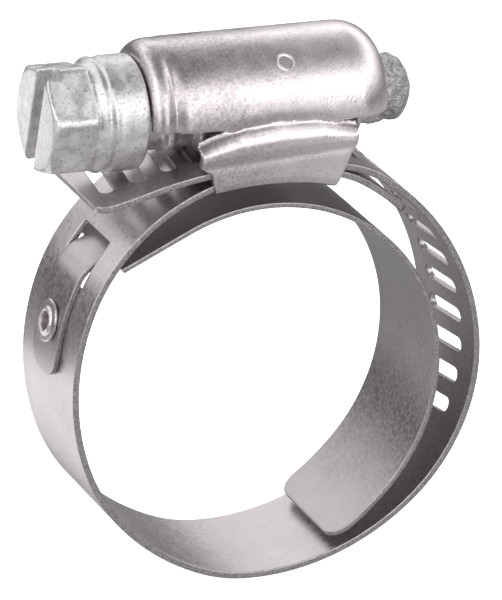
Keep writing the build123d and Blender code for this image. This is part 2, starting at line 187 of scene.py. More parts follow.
class Track:
    """A line in the XZ plane made of straight stretches and round bends, without corners."""

    def __init__(self, x, z, heading):
        self.x, self.z, self.heading = x, z, heading
        self.stretches = []
        self.length = 0.0

    def _add(self, turn_radius, amount):
        stretch = (self.length, self.x, self.z, self.heading, turn_radius, amount)
        self.stretches.append(stretch)
        self.x, self.z, self.heading = place_on(stretch, amount)
        self.length += amount
        return self

    def straight(self, length):
        return self._add(None, length)

    def left(self, radius, degrees):
        return self._add(radius, radius * math.radians(degrees))

    def right(self, radius, degrees):
        return self._add(-radius, radius * math.radians(degrees))

    def meet_circle(self, centre, radius, side):
        """Add the one bend that runs into a circle without a corner; side is +1 left, -1 right."""
        angle = math.radians(self.heading)
        normal = (-side * math.sin(angle), side * math.cos(angle))
        away = (self.x - centre[0], self.z - centre[1])
        room = radius + normal[0] * away[0] + normal[1] * away[1]
        bend = (radius**2 - away[0] ** 2 - away[1] ** 2) / (2 * room)
        middle = (away[0] + bend * normal[0], away[1] + bend * normal[1])
        inside = 1 if radius > bend else -1
        touch = math.degrees(math.atan2(inside * middle[1], inside * middle[0]))
        turned = (side * (touch + 90 * side - self.heading)) % 360
        return self._add(side * bend, bend * math.radians(turned))

    def at(self, distance):
        """Place (x, z, heading) at a distance from the start."""
        for stretch in self.stretches:
            if distance <= stretch[0] + stretch[5] + 1e-9:
                return place_on(stretch, distance - stretch[0])
        return self.x, self.z, self.heading

    def reversed(self):
        """The same line walked from its end."""
        back = Track(self.x, self.z, self.heading + 180)
        for _, _, _, _, turn_radius, amount in reversed(self.stretches):
            back._add(None if turn_radius is None else -turn_radius, amount)
        return back

    def followed_by(self, other):
        """This line with another one joined to its end."""
        for _, _, _, _, turn_radius, amount in other.stretches:
            self._add(turn_radius, amount)
        return self


def place_on(stretch, amount):
    """Place (x, z, heading) some way along one stretch of a track."""
    _, x, z, heading, turn_radius, _ = stretch
    if turn_radius is None:
        angle = math.radians(heading)
        return x + amount * math.cos(angle), z + amount * math.sin(angle), heading
    cx, cz = centre_of(stretch)
    turned = heading + math.degrees(amount / turn_radius)
    angle = math.radians(turned)
    return cx + turn_radius * math.sin(angle), cz - turn_radius * math.cos(angle), turned


def centre_of(stretch):
    """Centre of a bend."""
    _, x, z, heading, turn_radius, _ = stretch
    angle = math.radians(heading)
    return x - turn_radius * math.sin(angle), z + turn_radius * math.cos(angle)


def slotted_track():
    """From the bottom of the loop up the right side, through the housing and out to the tail."""
    track = Track(HINGE_X, HINGE_Z, BOTTOM_TILT)
    for radius, turned_by in RIGHT_SIDE_BENDS:
        track.left(radius, turned_by)
    track.meet_circle((HINGE_X, HINGE_Z), CHANNEL_RADIUS, 1)
    start_angle = math.asin((track.x - HINGE_X) / CHANNEL_RADIUS)
    end_angle = math.asin((HINGE_X - TAIL_START_X) / CHANNEL_RADIUS)
    track.left(CHANNEL_RADIUS, math.degrees(start_angle + end_angle))
    return track.right(*TAIL_BEND)


def anchor_track():
    """From the bottom of the loop up the left side, under the slotted layer and to the right."""
    track = Track(HINGE_X, HINGE_Z, 180 + BOTTOM_TILT)
    track.right(*LEFT_BOTTOM_BEND)
    bore_line = BORE_RADIUS + FIT_GAP + BAND_THICKNESS / 2
    track.meet_circle((0, 0), bore_line, -1)
    track.right(bore_line, LEFT_SNUG_DEGREES)
    track.right(*LEFT_SIDE_BEND)
    layer_step = BAND_THICKNESS + LAYER_GAP
    lower_radius = CHANNEL_RADIUS - layer_step
    track.meet_circle((HINGE_X, HINGE_Z), lower_radius, -1)
    last_bend = slotted_track().stretches[3]
    leave_x, leave_z, _ = place_on(last_bend, last_bend[5])
    tighten_angle = math.degrees(TIGHTEN_TURNS * SLOT_PITCH / CHANNEL_RADIUS)
    leave_angle = math.degrees(math.atan2(leave_z - HINGE_Z, leave_x - HINGE_X)) + tighten_angle
    arrive_angle = math.degrees(math.atan2(track.z - HINGE_Z, track.x - HINGE_X))
    track.right(lower_radius, arrive_angle - leave_angle)
    track.right(last_bend[4] - layer_step, math.degrees(last_bend[5] / last_bend[4]))
    return track.right(RIGHT_SIDE_BENDS[-1][0] - layer_step, FREE_END_DEGREES)


def tongue_wrap_radius(anchor):
    """Radius of the tongue's centre line where it lies on the outside of the band."""
    return -anchor.stretches[3][4] + BAND_THICKNESS / 2 + FIT_GAP + LINER_THICKNESS / 2


def liner_track(anchor):
    """From the free end at the lower right, over the top and out through the window."""
    centre_line = BORE_RADIUS + FIT_GAP + LINER_THICKNESS / 2
    free_side = Track(centre_line, 0, -90).right(centre_line, LINER_SNUG_DEGREES)
    free_side.right(*LINER_FREE_BEND)
    track = free_side.reversed()
    track.left(centre_line, LINER_LEAVE_ANGLE)
    track.straight(LINER_TO_WINDOW)
    return track.meet_circle(centre_of(anchor.stretches[3]), tongue_wrap_radius(anchor), 1)


def slot_distances(track):
    """Distances of the slots along the slotted track."""
    channel = track.stretches[4]
    start_angle = math.asin((channel[1] - HINGE_X) / CHANNEL_RADIUS)
    phase_angle = math.asin((SLOT_PHASE_X - HINGE_X) / CHANNEL_RADIUS)
    under_screw = channel[0] + CHANNEL_RADIUS * (start_angle - phase_angle)
    counts = range(-SLOTS_RIGHT, SLOTS_LEFT + 1)
    return [under_screw + count * SLOT_PITCH for count in counts]


# Flat blanks: every outline is a list of (distance along the strip, place across it)


def arc_points(centre, radius, start, end, steps):
    """Points of an arc given in degrees."""
    angles = np.radians(np.linspace(start, end, steps))
    return [(centre[0] + radius * math.cos(a), centre[1] + radius * math.sin(a)) for a in angles]


def round_hole(distance, radius):
    """A round hole on the middle line of a strip."""
    return arc_points((distance, 0), radius, 0, 350, 36)


def slot_hole(distance):
    """A slot with round ends, turned by the lead of the thread."""
    half = (SLOT_LENGTH - SLOT_WIDTH) / 2
    ends = arc_points((0, half), SLOT_WIDTH / 2, 0, 180, 9)
    ends += arc_points((0, -half), SLOT_WIDTH / 2, 180, 360, 9)
    turn = Matrix.Rotation(SLOT_LEAD, 2)
    turned = [turn @ Vector(point) for point in ends]
    return [(distance + point.x, point.y) for point in turned]


def rectangle_hole(distance, length, width, corner):
    """A window with slightly rounded corners."""
    points = []
    for side_x, side_y, start in ((1, 1, 0), (-1, 1, 90), (-1, -1, 180), (1, -1, 270)):
        centre = (distance + side_x * (length / 2 - corner), side_y * (width / 2 - corner))
        points += arc_points(centre, corner, start, start + 90, 5)
    return points


def end_corners(distance, width, corner, towards):
    """The two rounded corners at one end of a strip, near side first when towards is +1."""
    points = []
    for side in (-towards, towards):
        start = {(-1, 1): -90, (1, 1): 0, (1, -1): 90, (-1, -1): 180}[(side, towards)]
        centre = (distance - towards * corner, side * (width / 2 - corner))
        points += arc_points(centre, corner, start, start + 90, 9)
    return points


def flat_blank(outlines, thickness):
    """A flat sheet with rounded edges as a mesh; the first outline is the rim, the rest are holes."""
    curve = bpy.data.curves.new("blank", "CURVE")
    curve.dimensions = "2D"
    curve.fill_mode = "BOTH"
    curve.extrude = thickness / 2 - EDGE_ROUNDING
    curve.bevel_depth = EDGE_ROUNDING
    curve.bevel_resolution = 2
    curve.offset = -EDGE_ROUNDING
    for outline in outlines:
        spline = curve.splines.new("POLY")
        spline.points.add(len(outline) - 1)
        for point, (along, across) in zip(spline.points, outline):
            point.co = (along, across, 0, 1)
        spline.use_cyclic_u = True
    blank = bpy.data.objects.new("blank", curve)
    bpy.context.scene.collection.objects.link(blank)
    bpy.context.view_layer.update()
    mesh = bpy.data.meshes.new_from_object(blank.evaluated_get(bpy.context.evaluated_depsgraph_get()))
    bpy.data.objects.remove(blank)
    return mesh


def keep_one_side(cut, distance, side):
    """Cut a flat blank square across and cap it; side -1 keeps what lies before the cut, +1 after."""
    made = bmesh.ops.bisect_plane(
        cut,
        geom=cut.verts[:] + cut.edges[:] + cut.faces[:],
        dist=1e-5,
        plane_co=(distance, 0, 0),
        plane_no=(side, 0, 0),
        clear_inner=True,
    )
    rim = [item for item in made["geom_cut"] if isinstance(item, bmesh.types.BMEdge)]
    bmesh.ops.edgeloop_fill(cut, edges=rim)


def bent_strip(name, outlines, thickness, track, split=None):
    """A flat blank cut into short lengths and bent along a track; split is (distance, side kept)."""
    mesh = flat_blank(outlines, thickness)
    cut = bmesh.new()
    cut.from_mesh(mesh)
    bmesh.ops.remove_doubles(cut, verts=cut.verts, dist=1e-4)
    if split:
        keep_one_side(cut, *split)
    for count in range(1, int(track.length / BEND_STEP) + 1):
        bmesh.ops.bisect_plane(
            cut,
            geom=cut.verts[:] + cut.edges[:] + cut.faces[:],
            dist=1e-5,
            plane_co=(count * BEND_STEP, 0, 0),
            plane_no=(1, 0, 0),
        )
    bmesh.ops.dissolve_degenerate(cut, dist=1e-4, edges=cut.edges[:])
    for vert in cut.verts:
        x, z, heading = track.at(max(0.0, min(track.length, vert.co.x)))
        angle = math.radians(heading)
        lift = vert.co.z
        vert.co = Vector((x - lift * math.sin(angle), vert.co.y, z + lift * math.cos(angle))) * MM
    bmesh.ops.recalc_face_normals(cut, faces=cut.faces)
    if cut.calc_volume(signed=True) < 0:
        bmesh.ops.reverse_faces(cut, faces=cut.faces[:])
    cut.to_mesh(mesh)
    cut.free()
    return finished(name, mesh)


def finished(name, mesh):
    """An object with smooth faces and crisp edges from a mesh in metres."""
    mesh.shade_smooth()
    mesh.set_sharp_from_angle(angle=math.radians(35))
    piece = bpy.data.objects.new(name, mesh)
    bpy.context.scene.collection.objects.link(piece)
    return piece


def band_half(name, side):
    """One half of the band, cut where it flexes at the bottom of the loop.

    Side -1 is the half that is riveted to the liner, +1 the slotted half with the tail.
    """
    anchor = anchor_track()
    bottom = anchor.length
    track = anchor.reversed().followed_by(slotted_track())
    window = bottom - (anchor.stretches[4][0] + WINDOW_FROM_BEND)
    rivet = bottom - rivet_distance(anchor)
    rim = end_corners(track.length, BAND_WIDTH, BAND_CORNER, 1)
    rim += end_corners(0, BAND_WIDTH, BAND_CORNER, -1)
    holes = [rectangle_hole(window, WINDOW_LENGTH, WINDOW_WIDTH, WINDOW_CORNER)]
    holes.append(round_hole(rivet, RIVET_HOLE_RADIUS))
    holes += [slot_hole(bottom + distance) for distance in slot_distances(slotted_track())]
    return bent_strip(name, [rim] + holes, BAND_THICKNESS, track, split=(bottom, side))


def rivet_distance(anchor):
    """Distance of the rivet along the anchor track."""
    bend = anchor.stretches[3]
    cx, cz = centre_of(bend)
    start = math.degrees(math.atan2(bend[2] - cz, bend[1] - cx)) % 360
    return bend[0] - bend[4] * math.radians(start - RIVET_ANGLE)


def inner_liner():
    """The thin strip inside the loop with its narrow tongue."""
    anchor = anchor_track()
    track = liner_track(anchor)
    shoulder = track.stretches[3][0] + SHOULDER_DISTANCE
    wrap = tongue_wrap_radius(anchor)
    wrap_start = track.length
    start_angle = tongue_start_angle(anchor, track)
    track.left(wrap, TONGUE_WRAP)
    rivet = wrap_start + wrap * math.radians(RIVET_ANGLE - start_angle)
    tip = end_corners(track.length, TONGUE_WIDTH, TONGUE_CORNER, 1)
    free_end = end_corners(0, BAND_WIDTH, LINER_CORNER, -1)
    half_tongue, half_band = TONGUE_WIDTH / 2, BAND_WIDTH / 2
    rim = [(shoulder, -half_band), (shoulder, -half_tongue)] + tip
    rim += [(shoulder, half_tongue), (shoulder, half_band)] + free_end
    return bent_strip("liner_strip", [rim, round_hole(rivet, RIVET_HOLE_RADIUS)], LINER_THICKNESS, track)


def tongue_start_angle(anchor, track):
    """Polar angle, about the centre of the side bend, where the tongue starts to wrap."""
    cx, cz = centre_of(anchor.stretches[3])
    return math.degrees(math.atan2(track.z - cz, track.x - cx)) % 360


# Grids and turned shapes


def grid_mesh(name, points, wrap):
    """A mesh through a list of rows of points in mm; wrap joins the last column to the first."""
    rows, columns = len(points), len(points[0])
    verts = [Vector(point) * MM for row in points for point in row]
    spans = columns if wrap else columns - 1
    faces = [
        (
            row * columns + column,
            row * columns + (column + 1) % columns,
            (row + 1) * columns + (column + 1) % columns,
            (row + 1) * columns + column,
        )
        for row in range(rows - 1)
        for column in range(spans)
    ]
    if wrap:
        faces.append(tuple(reversed(range(columns))))
        faces.append(tuple((rows - 1) * columns + column for column in range(columns)))
    mesh = bpy.data.meshes.new(name)
    mesh.from_pydata(verts, [], faces)
    return mesh


def evaluated(name, piece):
    """Replace an object by a plain mesh object with its modifiers applied."""
    bpy.context.view_layer.update()
    mesh = bpy.data.meshes.new_from_object(piece.evaluated_get(bpy.context.evaluated_depsgraph_get()))
    bpy.data.objects.remove(piece)
    return finished(name, mesh)


def fused(name, meshes, voxel, smooth_steps, cutter=None, sheet=None):
    """One solid from several closed meshes, with soft edges as on a formed metal part."""
    joined = bmesh.new()
    for mesh in meshes:
        joined.from_mesh(mesh)
    bmesh.ops.recalc_face_normals(joined, faces=joined.faces)
    mesh = bpy.data.meshes.new(name)
    joined.to_mesh(mesh)
    joined.free()
    piece = bpy.data.objects.new(name, mesh)
    bpy.context.scene.collection.objects.link(piece)
    if sheet:
        solid = piece.modifiers.new("sheet", "SOLIDIFY")
        solid.thickness = sheet * MM
        solid.offset = 0
    add_skin(piece, voxel)
    if cutter:
        cut = piece.modifiers.new("cut", "BOOLEAN")
        cut.operation = "DIFFERENCE"
        cut.object = cutter
        cut.solver = "EXACT"
        add_skin(piece, voxel)
    soften = piece.modifiers.new("soften", "SMOOTH")
    soften.factor = 0.5
    soften.iterations = smooth_steps
    made = evaluated(name, piece)
    if cutter:
        bpy.data.objects.remove(cutter)
    return made


def add_skin(piece, voxel):
    """Fuse everything inside an object into one even skin."""
    remesh = piece.modifiers.new("skin", "REMESH")
    remesh.mode = "VOXEL"
    remesh.voxel_size = voxel * MM
    remesh.use_smooth_shade = True


def smooth_step(value, low, high):
    share = max(0.0, min(1.0, (value - low) / (high - low)))
    return share * share * (3 - 2 * share)


# The screw


def hexagon_radius(angle):
    """Distance to the side of the hexagon, with rounded corners."""
    from_flat = (angle - HEX_TURN + math.pi / 6) % (math.pi / 3) - math.pi / 6
    flat = HEX_ACROSS_FLATS / 2 / math.cos(from_flat)
    corner = HEX_ACROSS_FLATS / 2 / math.cos(math.pi / 6) - 0.12
    return min(flat, corner)


def head_radius(x, angle):
    """Outer radius of the hexagon, its cone and the collar."""
    end = SCREW_LOW.x
    if x < CONE_START_X:
        corner_off = HEX_ACROSS_FLATS / 2 - 0.15 + 2.0 * (x - end)
        return min(hexagon_radius(angle), corner_off)
    if x < COLLAR_START_X:
        share = (x - CONE_START_X) / (COLLAR_START_X - CONE_START_X)
        foot = HEX_ACROSS_FLATS / 2 - 0.2
        return foot + share * (COLLAR_RADIUS - foot)
    groove = 0.2 * math.exp(-(((x - COLLAR_START_X - 0.75) / 0.28) ** 2))
    return COLLAR_RADIUS - groove - max(0.0, x - COLLAR_END_X + 0.25)


def shank_radius(x, angle):
    """Outer radius of the thread and of the plain end, which is crumpled by cold forming."""
    run_out = SHANK_END_X - 1.2
    if x < run_out:
        phase = (x - SLOT_PHASE_X) / SLOT_PITCH + (angle + math.pi) / (2 * math.pi)
        off_crest = abs(phase - round(phase)) * SLOT_PITCH
        ridge = 1 - max(0.0, min(1.0, (off_crest - 0.28) / 0.3))
        fade = smooth_step(x, -10.6, -9.4) * (1 - smooth_step(x, 9.6, run_out))
        return ROOT_RADIUS + ridge * fade * (THREAD_RADIUS - ROOT_RADIUS)
    dome = max(0.0, x - (SCREW_HIGH.x - PILOT_DOME)) / PILOT_DOME
    crumple = 0.03 * math.sin(4 * angle + 2.1 * x) + 0.02 * math.sin(9 * angle - 3.7 * x)
    ring = 0.05 * math.exp(-(((x - (SCREW_HIGH.x - 2.5)) / 0.2) ** 2))
    rough = smooth_step(x, run_out, SHANK_END_X) * (crumple - 0.05)
    return PILOT_RADIUS * (math.sqrt(max(0.02, 1 - dome**2.2)) * (1 + rough) - ring)


def turned(name, stations, radius, segments):
    """A closed mesh around the screw axis; angle 0 is up and grows towards +Y."""
    rows = []
    for x in stations:
        row = []
        for count in range(segments):
            angle = 2 * math.pi * count / segments
            r = radius(x, angle)
            row.append((x, r * math.sin(angle), SCREW_Z + r * math.cos(angle)))
        rows.append(row)
    return grid_mesh(name, rows, wrap=True)


def worm_screw():
    """Head, thread and plain end in one piece, with the driver slot cut across the head."""
    head = turned("head", np.arange(SCREW_LOW.x, COLLAR_END_X + 0.01, 0.1), head_radius, 360)
    shank = turned("shank", np.arange(COLLAR_END_X - 1, SCREW_HIGH.x, 0.1), shank_radius, 120)
    slot = bpy.data.meshes.new("driver_slot")
    cube = bmesh.new()
    bmesh.ops.create_cube(cube, size=1)
    size = (2 * DRIVER_SLOT_DEPTH, DRIVER_SLOT_WIDTH, 20)
    cube.transform(Matrix.Diagonal((*size, 1)))
    cube.transform(Matrix.Rotation(HEX_TURN, 4, "X"))
    cube.transform(Matrix.Translation((SCREW_LOW.x, 0, SCREW_Z)))
    cube.transform(Matrix.Scale(MM, 4))
    cube.to_mesh(slot)
    cube.free()
    cutter = bpy.data.objects.new("driver_slot", slot)
    bpy.context.scene.collection.objects.link(cutter)
    cutter.hide_render = True
    return fused("screw", [head, shank], VOXEL, 3, cutter=cutter)


# The housing


def between(value, stops):
    """Straight-line value between (place, value) stops."""
    return float(np.interp(value, [stop[0] for stop in stops], [stop[1] for stop in stops]))


def crease_height(x):
    """Height of the crease in which a side wall leaves the barrel."""
    return between(x, ((-7.6, 23.3), (-5.5, 24.2), (-3.0, 25.1), (0.5, 25.5), (4.0, 25.3), (8.4, 24.2)))


def barrel_radius(x, angle):
    """Middle of the barrel's sheet, with the valley behind the lip and the groove at the crease."""
    middle = BARREL_RADIUS - SHEET / 2
    radius = middle
    from_start = x - (BARREL_START_X + SHEET / 2)
    if from_start < LIP_ROUND:
        radius = middle - LIP_ROUND + math.sqrt(LIP_ROUND**2 - (LIP_ROUND - from_start) ** 2)
    to_end = BARREL_END_X - SHEET / 2 - x
    if to_end < DOME_LENGTH:
        inset = 1 - math.sqrt(1 - (1 - to_end / DOME_LENGTH) ** 2)
        radius = middle - DOME_LENGTH * DOME_SHARE * inset
    side = smooth_step(abs(angle), math.radians(10), math.radians(50))
    valley = VALLEY_DEPTH * side * math.exp(-(((x - VALLEY_X) / VALLEY_HALF_WIDTH) ** 2))
    height = SCREW_Z + radius * math.cos(angle)
    above_crease = height - crease_height(x) - CREASE_HALF_WIDTH
    groove = CREASE_DEPTH * math.exp(-((above_crease / CREASE_HALF_WIDTH) ** 2))
    groove *= smooth_step(x, -8.4, -6.8)
    return radius - valley - groove


def barrel_shell():
    """Mid surface of the barrel, open below."""
    free_edge = math.radians(92.5)
    angles = np.linspace(-free_edge, free_edge, 90)
    start = BARREL_START_X + SHEET / 2
    end = BARREL_END_X - SHEET / 2
    near_lip = start + 0.02 * np.arange(5) ** 2
    middle = np.arange(start + 0.5, end - 0.6, 0.25)
    near_neck = end - 0.6 * np.linspace(1, 0, 6) ** 2
    rows = [[ring_point(start, LIP_HOLE_RADIUS, a) for a in angles]]
    for x in np.concatenate([near_lip, middle, near_neck]):
        rows.append([ring_point(x, barrel_radius(x, a), a) for a in angles])
    rows.append([ring_point(end, PILOT_RADIUS + NECK_GAP, a) for a in angles])
    return grid_mesh("barrel", rows, wrap=False)


def ring_point(x, radius, angle):
    """A point around the screw axis; angle 0 is up."""
    return (x, radius * math.sin(angle), SCREW_Z + radius * math.cos(angle))


def saddle_bottom(x):
    """Height of the middle of the feet under the band."""
    radius = CHANNEL_RADIUS - 1.5 * BAND_THICKNESS - LAYER_GAP - SHEET / 2 - 0.02
    return HINGE_Z + math.sqrt(radius**2 - (x - HINGE_X) ** 2)


def saddle_side(side):
    """Mid surface of one side wall: crease, shoulder, fold, skirt and the foot under the band."""
    left_end = ((19.3, -5.5), (21.9, -6.2), (22.2, -7.2), (24.6, -7.2))
    right_end = ((19.3, 6.3), (20.5, 6.9), (22.2, 7.5), (22.9, 8.1), (24.8, 8.2))
    wall = SADDLE_Y - SHEET / 2
    rows = []
    for share in np.linspace(0, 1, 70):
        rough_x = SADDLE_START_X + SADDLE_LENGTH * share
        crease_z = crease_height(rough_x)
        fold_z = 22.8 + 0.06 * (rough_x + 4.5)
        shoulder = crease_z - fold_z
        bottom = saddle_bottom(rough_x)
        section = [
            (BARREL_RADIUS - 0.9, crease_z + 0.5),
            (BARREL_RADIUS - 0.6, crease_z),
            (BARREL_RADIUS - 0.25, crease_z - 0.15 * shoulder),
            (wall - 0.25, crease_z - 0.3 * shoulder),
            (wall - 0.03, crease_z - 0.5 * shoulder),
            (wall, fold_z + 0.2 * shoulder),
            (wall - 0.12, fold_z),
            (wall - 0.3, fold_z - 0.45),
            (wall - 0.22, fold_z - 1.2),
            (wall - 0.2, bottom + 0.5),
            (wall - 0.36, bottom + 0.12),
            (wall - 0.75, bottom),
            (wall - 2.5, bottom),
            (SEAM_HALF_GAP + SHEET / 2, bottom),
        ]
        row = []
        for y, z in section:
            low, high = between(z, left_end), between(z, right_end)
            x = low + (high - low) * share
            row.append((x, side * y, z))
        rows.append(row)
    return grid_mesh("saddle", rows, wrap=False)


def housing_shell():
    """Barrel and side walls as one stamping."""
    return fused("housing_shell", [barrel_shell(), saddle_side(-1), saddle_side(1)], VOXEL, 4, sheet=SHEET)


# The rivet


def rolled_rivet():
    """Hollow rivet with a rolled rim around its bore and a thin flange."""
    anchor = anchor_track()
    bend = anchor.stretches[3]
    cx, cz = centre_of(bend)
    face = -bend[4] + BAND_THICKNESS / 2
    top = FIT_GAP + LINER_THICKNESS
    profile = [
        (0.80, -0.9), (0.80, top + 0.30), (0.86, top + 0.46), (1.02, top + 0.54), (1.2, top + 0.5),
        (1.34, top + 0.36), (1.5, top + 0.3), (1.75, top + 0.34), (1.9, top + 0.3), (2.0, top + 0.18),
        (1.96, top + 0.06), (1.15, top + 0.04), (1.12, -0.7), (1.7, -0.7), (1.7, -0.92),
    ]
    direction = Vector((math.cos(math.radians(RIVET_ANGLE)), 0, math.sin(math.radians(RIVET_ANGLE))))
    across = Vector((0, 1, 0))
    along = direction.cross(across)
    base = Vector((cx, 0, cz)) + direction * face
    segments = 96
    rows = []
    for count in range(segments):
        angle = 2 * math.pi * count / segments
        arm = across * math.cos(angle) + along * math.sin(angle)
        wobble = 1 + 0.012 * math.sin(3 * angle) + 0.01 * math.sin(5 * angle + 1)
        rows.append([tuple(base + arm * r * wobble + direction * h) for r, h in profile + profile[:1]])
    rows.append(rows[0])
    mesh = grid_mesh("rivet", rows, wrap=False)
    join = bmesh.new()
    join.from_mesh(mesh)
    bmesh.ops.remove_doubles(join, verts=join.verts, dist=1e-7)
    bmesh.ops.recalc_face_normals(join, faces=join.faces)
    join.to_mesh(mesh)
    join.free()
    return finished("rivet_rolled", mesh)


# Materials

# Plain round press mark on the near side of the barrel
PRESS_MARK_TURN = math.radians(40.5)
PRESS_MARK = (
    1.64,
    -BARREL_RADIUS * math.sin(PRESS_MARK_TURN),
    SCREW_Z + BARREL_RADIUS * math.cos(PRESS_MARK_TURN),
)
PRESS_MARK_RADIUS = 0.75


class Nodes:
    """Short calls for building a node material."""

    def __init__(self, name):
        self.material = bpy.data.materials.new(name)
        self.material.use_nodes = True
        self.tree = self.material.node_tree
        self.shader = self.tree.nodes["Principled BSDF"]
        self.millimetres = self.scaled((1 / MM,) * 3)

    def node(self, kind, inputs=None, **settings):
        made = self.tree.nodes.new(kind)
        for key, value in settings.items():
            setattr(made, key, value)
        for key, value in (inputs or {}).items():
            self.feed(made.inputs[key], value)
        return made

    def feed(self, socket, value):
        if isinstance(value, bpy.types.NodeSocket):
            self.tree.links.new(value, socket)
        else:
            socket.default_value = value

    def scaled(self, scale):
        place = self.node("ShaderNodeTexCoord").outputs["Object"]
        return self.node("ShaderNodeMapping", {"Vector": place, "Scale": scale}).outputs[0]

    def stretched(self, scale):
        """Coordinates in millimetres, stretched along some axes."""
        return self.node("ShaderNodeMapping", {"Vector": self.millimetres, "Scale": scale}).outputs[0]

    def noise(self, scale, detail=3.0, vector=None, distortion=0.0):
        inputs = {
            "Vector": vector or self.millimetres,
            "Scale": scale,
            "Detail": detail,
            "Distortion": distortion,
        }
        return self.node("ShaderNodeTexNoise", inputs).outputs["Fac"]

    def spread(self, value, low, high, start=0.0, end=1.0):
        inputs = {"Value": value, "From Min": low, "From Max": high, "To Min": start, "To Max": end}
        return self.node("ShaderNodeMapRange", inputs).outputs["Result"]

    def math(self, operation, first, second=0.0):
        return self.node("ShaderNodeMath", {0: first, 1: second}, operation=operation).outputs[0]

    def mix(self, share, first, second, blend="MIX"):
        made = self.node("ShaderNodeMix", data_type="RGBA", blend_type=blend)
        self.feed(made.inputs["Factor"], share)
        self.feed(made.inputs[6], first)
        self.feed(made.inputs[7], second)
        return made.outputs[2]

    def bump(self, height, strength, distance, under=None):
        inputs = {"Height": height, "Strength": strength, "Distance": distance * MM}
        if under:
            inputs["Normal"] = under
        return self.node("ShaderNodeBump", inputs).outputs["Normal"]


def rgb(value, pink=0.0):
    """A grey in linear light, turned slightly towards pink or, below zero, towards green."""
    return (value * (1 + pink), value * (1 - pink / 2), value * (1 - pink / 4), 1.0)


def rolled_steel(name, light, dark, roughness, cut_edge):
    """Stainless strip: fine speckle, soft stains, rolling lines and pale sheared edges."""
    n = Nodes(name)
    speckle = n.noise(2.6, 5.0)
    grains = n.noise(7.0, 2.0)
    stains = n.noise(0.22, 3.0, distortion=0.4)
    lines = n.noise(1.0, 2.0, n.stretched((0.5, 9.0, 0.5)))
    tone = n.mix(n.spread(speckle, 0.35, 0.65), rgb(dark, 0.05), rgb(light, 0.06))
    tone = n.mix(n.spread(stains, 0.35, 0.7, 0.0, 0.35), tone, rgb(light * 1.1, 0.03))
    tone = n.mix(n.spread(grains, 0.62, 0.72, 0.0, 0.35), tone, rgb(dark * 0.5, 0.05))
    normal = n.node("ShaderNodeNewGeometry").outputs["True Normal"]
    across = n.node("ShaderNodeSeparateXYZ", {0: normal}).outputs["Y"]
    edge = n.spread(n.math("ABSOLUTE", across), 0.55, 0.9)
    burr = n.spread(n.noise(5.0, 4.0), 0.38, 0.62)
    cut = n.mix(burr, rgb(cut_edge * 0.6, 0.05), rgb(cut_edge, 0.03))
    n.feed(n.shader.inputs["Base Color"], n.mix(edge, tone, cut))
    n.shader.inputs["Metallic"].default_value = 1.0
    rough = n.spread(speckle, 0.3, 0.7, roughness - 0.08, roughness + 0.08)
    n.feed(n.shader.inputs["Roughness"], rough)
    fine = n.bump(n.noise(6.0, 4.0), 0.35, 0.03)
    n.feed(n.shader.inputs["Normal"], n.bump(lines, 0.3, 0.02, fine))
    return n.material


def pressed_steel(name):
    """Bright stamped sheet with fine pits, soft handling marks and a lighter right half."""
    n = Nodes(name)
    speckle = n.noise(3.2, 5.0)
    pits = n.noise(5.5, 2.0)
    clouds = n.noise(0.35, 3.0, distortion=0.6)
    along = n.node("ShaderNodeSeparateXYZ", {0: n.millimetres}).outputs["X"]
    from_mark = n.node("ShaderNodeVectorMath", {0: n.millimetres, 1: PRESS_MARK}, operation="DISTANCE")
    off_ring = n.math("ABSOLUTE", n.math("SUBTRACT", from_mark.outputs["Value"], PRESS_MARK_RADIUS))
    ring = n.spread(off_ring, 0.0, 0.16, 1.0, 0.0)
    tone = n.mix(n.spread(speckle, 0.35, 0.68), rgb(0.52, 0.05), rgb(0.76, 0.06))
    tone = n.mix(n.spread(along, -4.0, 6.0, 0.0, 0.7), tone, rgb(0.95, 0.05))
    tone = n.mix(n.spread(pits, 0.62, 0.72, 0.0, 0.6), tone, rgb(0.16, 0.05))
    n.feed(n.shader.inputs["Base Color"], tone)
    n.shader.inputs["Metallic"].default_value = 1.0
    n.feed(n.shader.inputs["Roughness"], n.spread(clouds, 0.3, 0.7, 0.24, 0.42))
    fine = n.bump(n.noise(5.0, 4.0), 0.4, 0.04)
    n.feed(n.shader.inputs["Normal"], n.bump(clouds, 0.35, 0.12, n.bump(ring, 0.8, 0.12, fine)))
    return n.material


def plated_zinc(name):
    """Pale zinc plating, partly dulled, over a rough cold-formed surface."""
    n = Nodes(name)
    patches = n.noise(0.8, 5.0, distortion=0.5)
    grain = n.noise(4.0, 4.0)
    tone = n.mix(n.spread(patches, 0.35, 0.65), rgb(0.66, 0.01), rgb(0.92, 0.01))
    tone = n.mix(n.spread(grain, 0.55, 0.7, 0.0, 0.6), tone, rgb(0.25, 0.02))
    along = n.node("ShaderNodeSeparateXYZ", {0: n.millimetres}).outputs["X"]
    tone = n.mix(n.spread(along, 11.5, 12.5, 0.0, 0.45), tone, rgb(0.3, 0.03))
    n.feed(n.shader.inputs["Base Color"], tone)
    n.shader.inputs["Metallic"].default_value = 0.85
    n.feed(n.shader.inputs["Roughness"], n.spread(patches, 0.3, 0.7, 0.3, 0.5))
    upset = n.math("MULTIPLY", n.noise(1.6, 5.0, distortion=1.2), n.spread(along, 9.0, 10.0))
    fine = n.bump(grain, 0.5, 0.05, n.bump(upset, 1.0, 0.5))
    n.feed(n.shader.inputs["Normal"], n.bump(patches, 0.35, 0.08, fine))
    return n.material


# Stage


def area_light(name, direction, distance, size, watts):
    """A soft square light that looks at the middle of the object."""
    middle = (cad_low + cad_high) / 2
    light = bpy.data.lights.new(name, "AREA")
    light.shape = "SQUARE"
    light.size = size
    light.energy = watts
    lamp = bpy.data.objects.new(name, light)
    towards = Vector(direction).normalized()
    lamp.location = middle + towards * distance
    lamp.rotation_euler = towards.to_track_quat("Z", "Y").to_euler()
    bpy.context.scene.collection.objects.link(lamp)
    return lamp


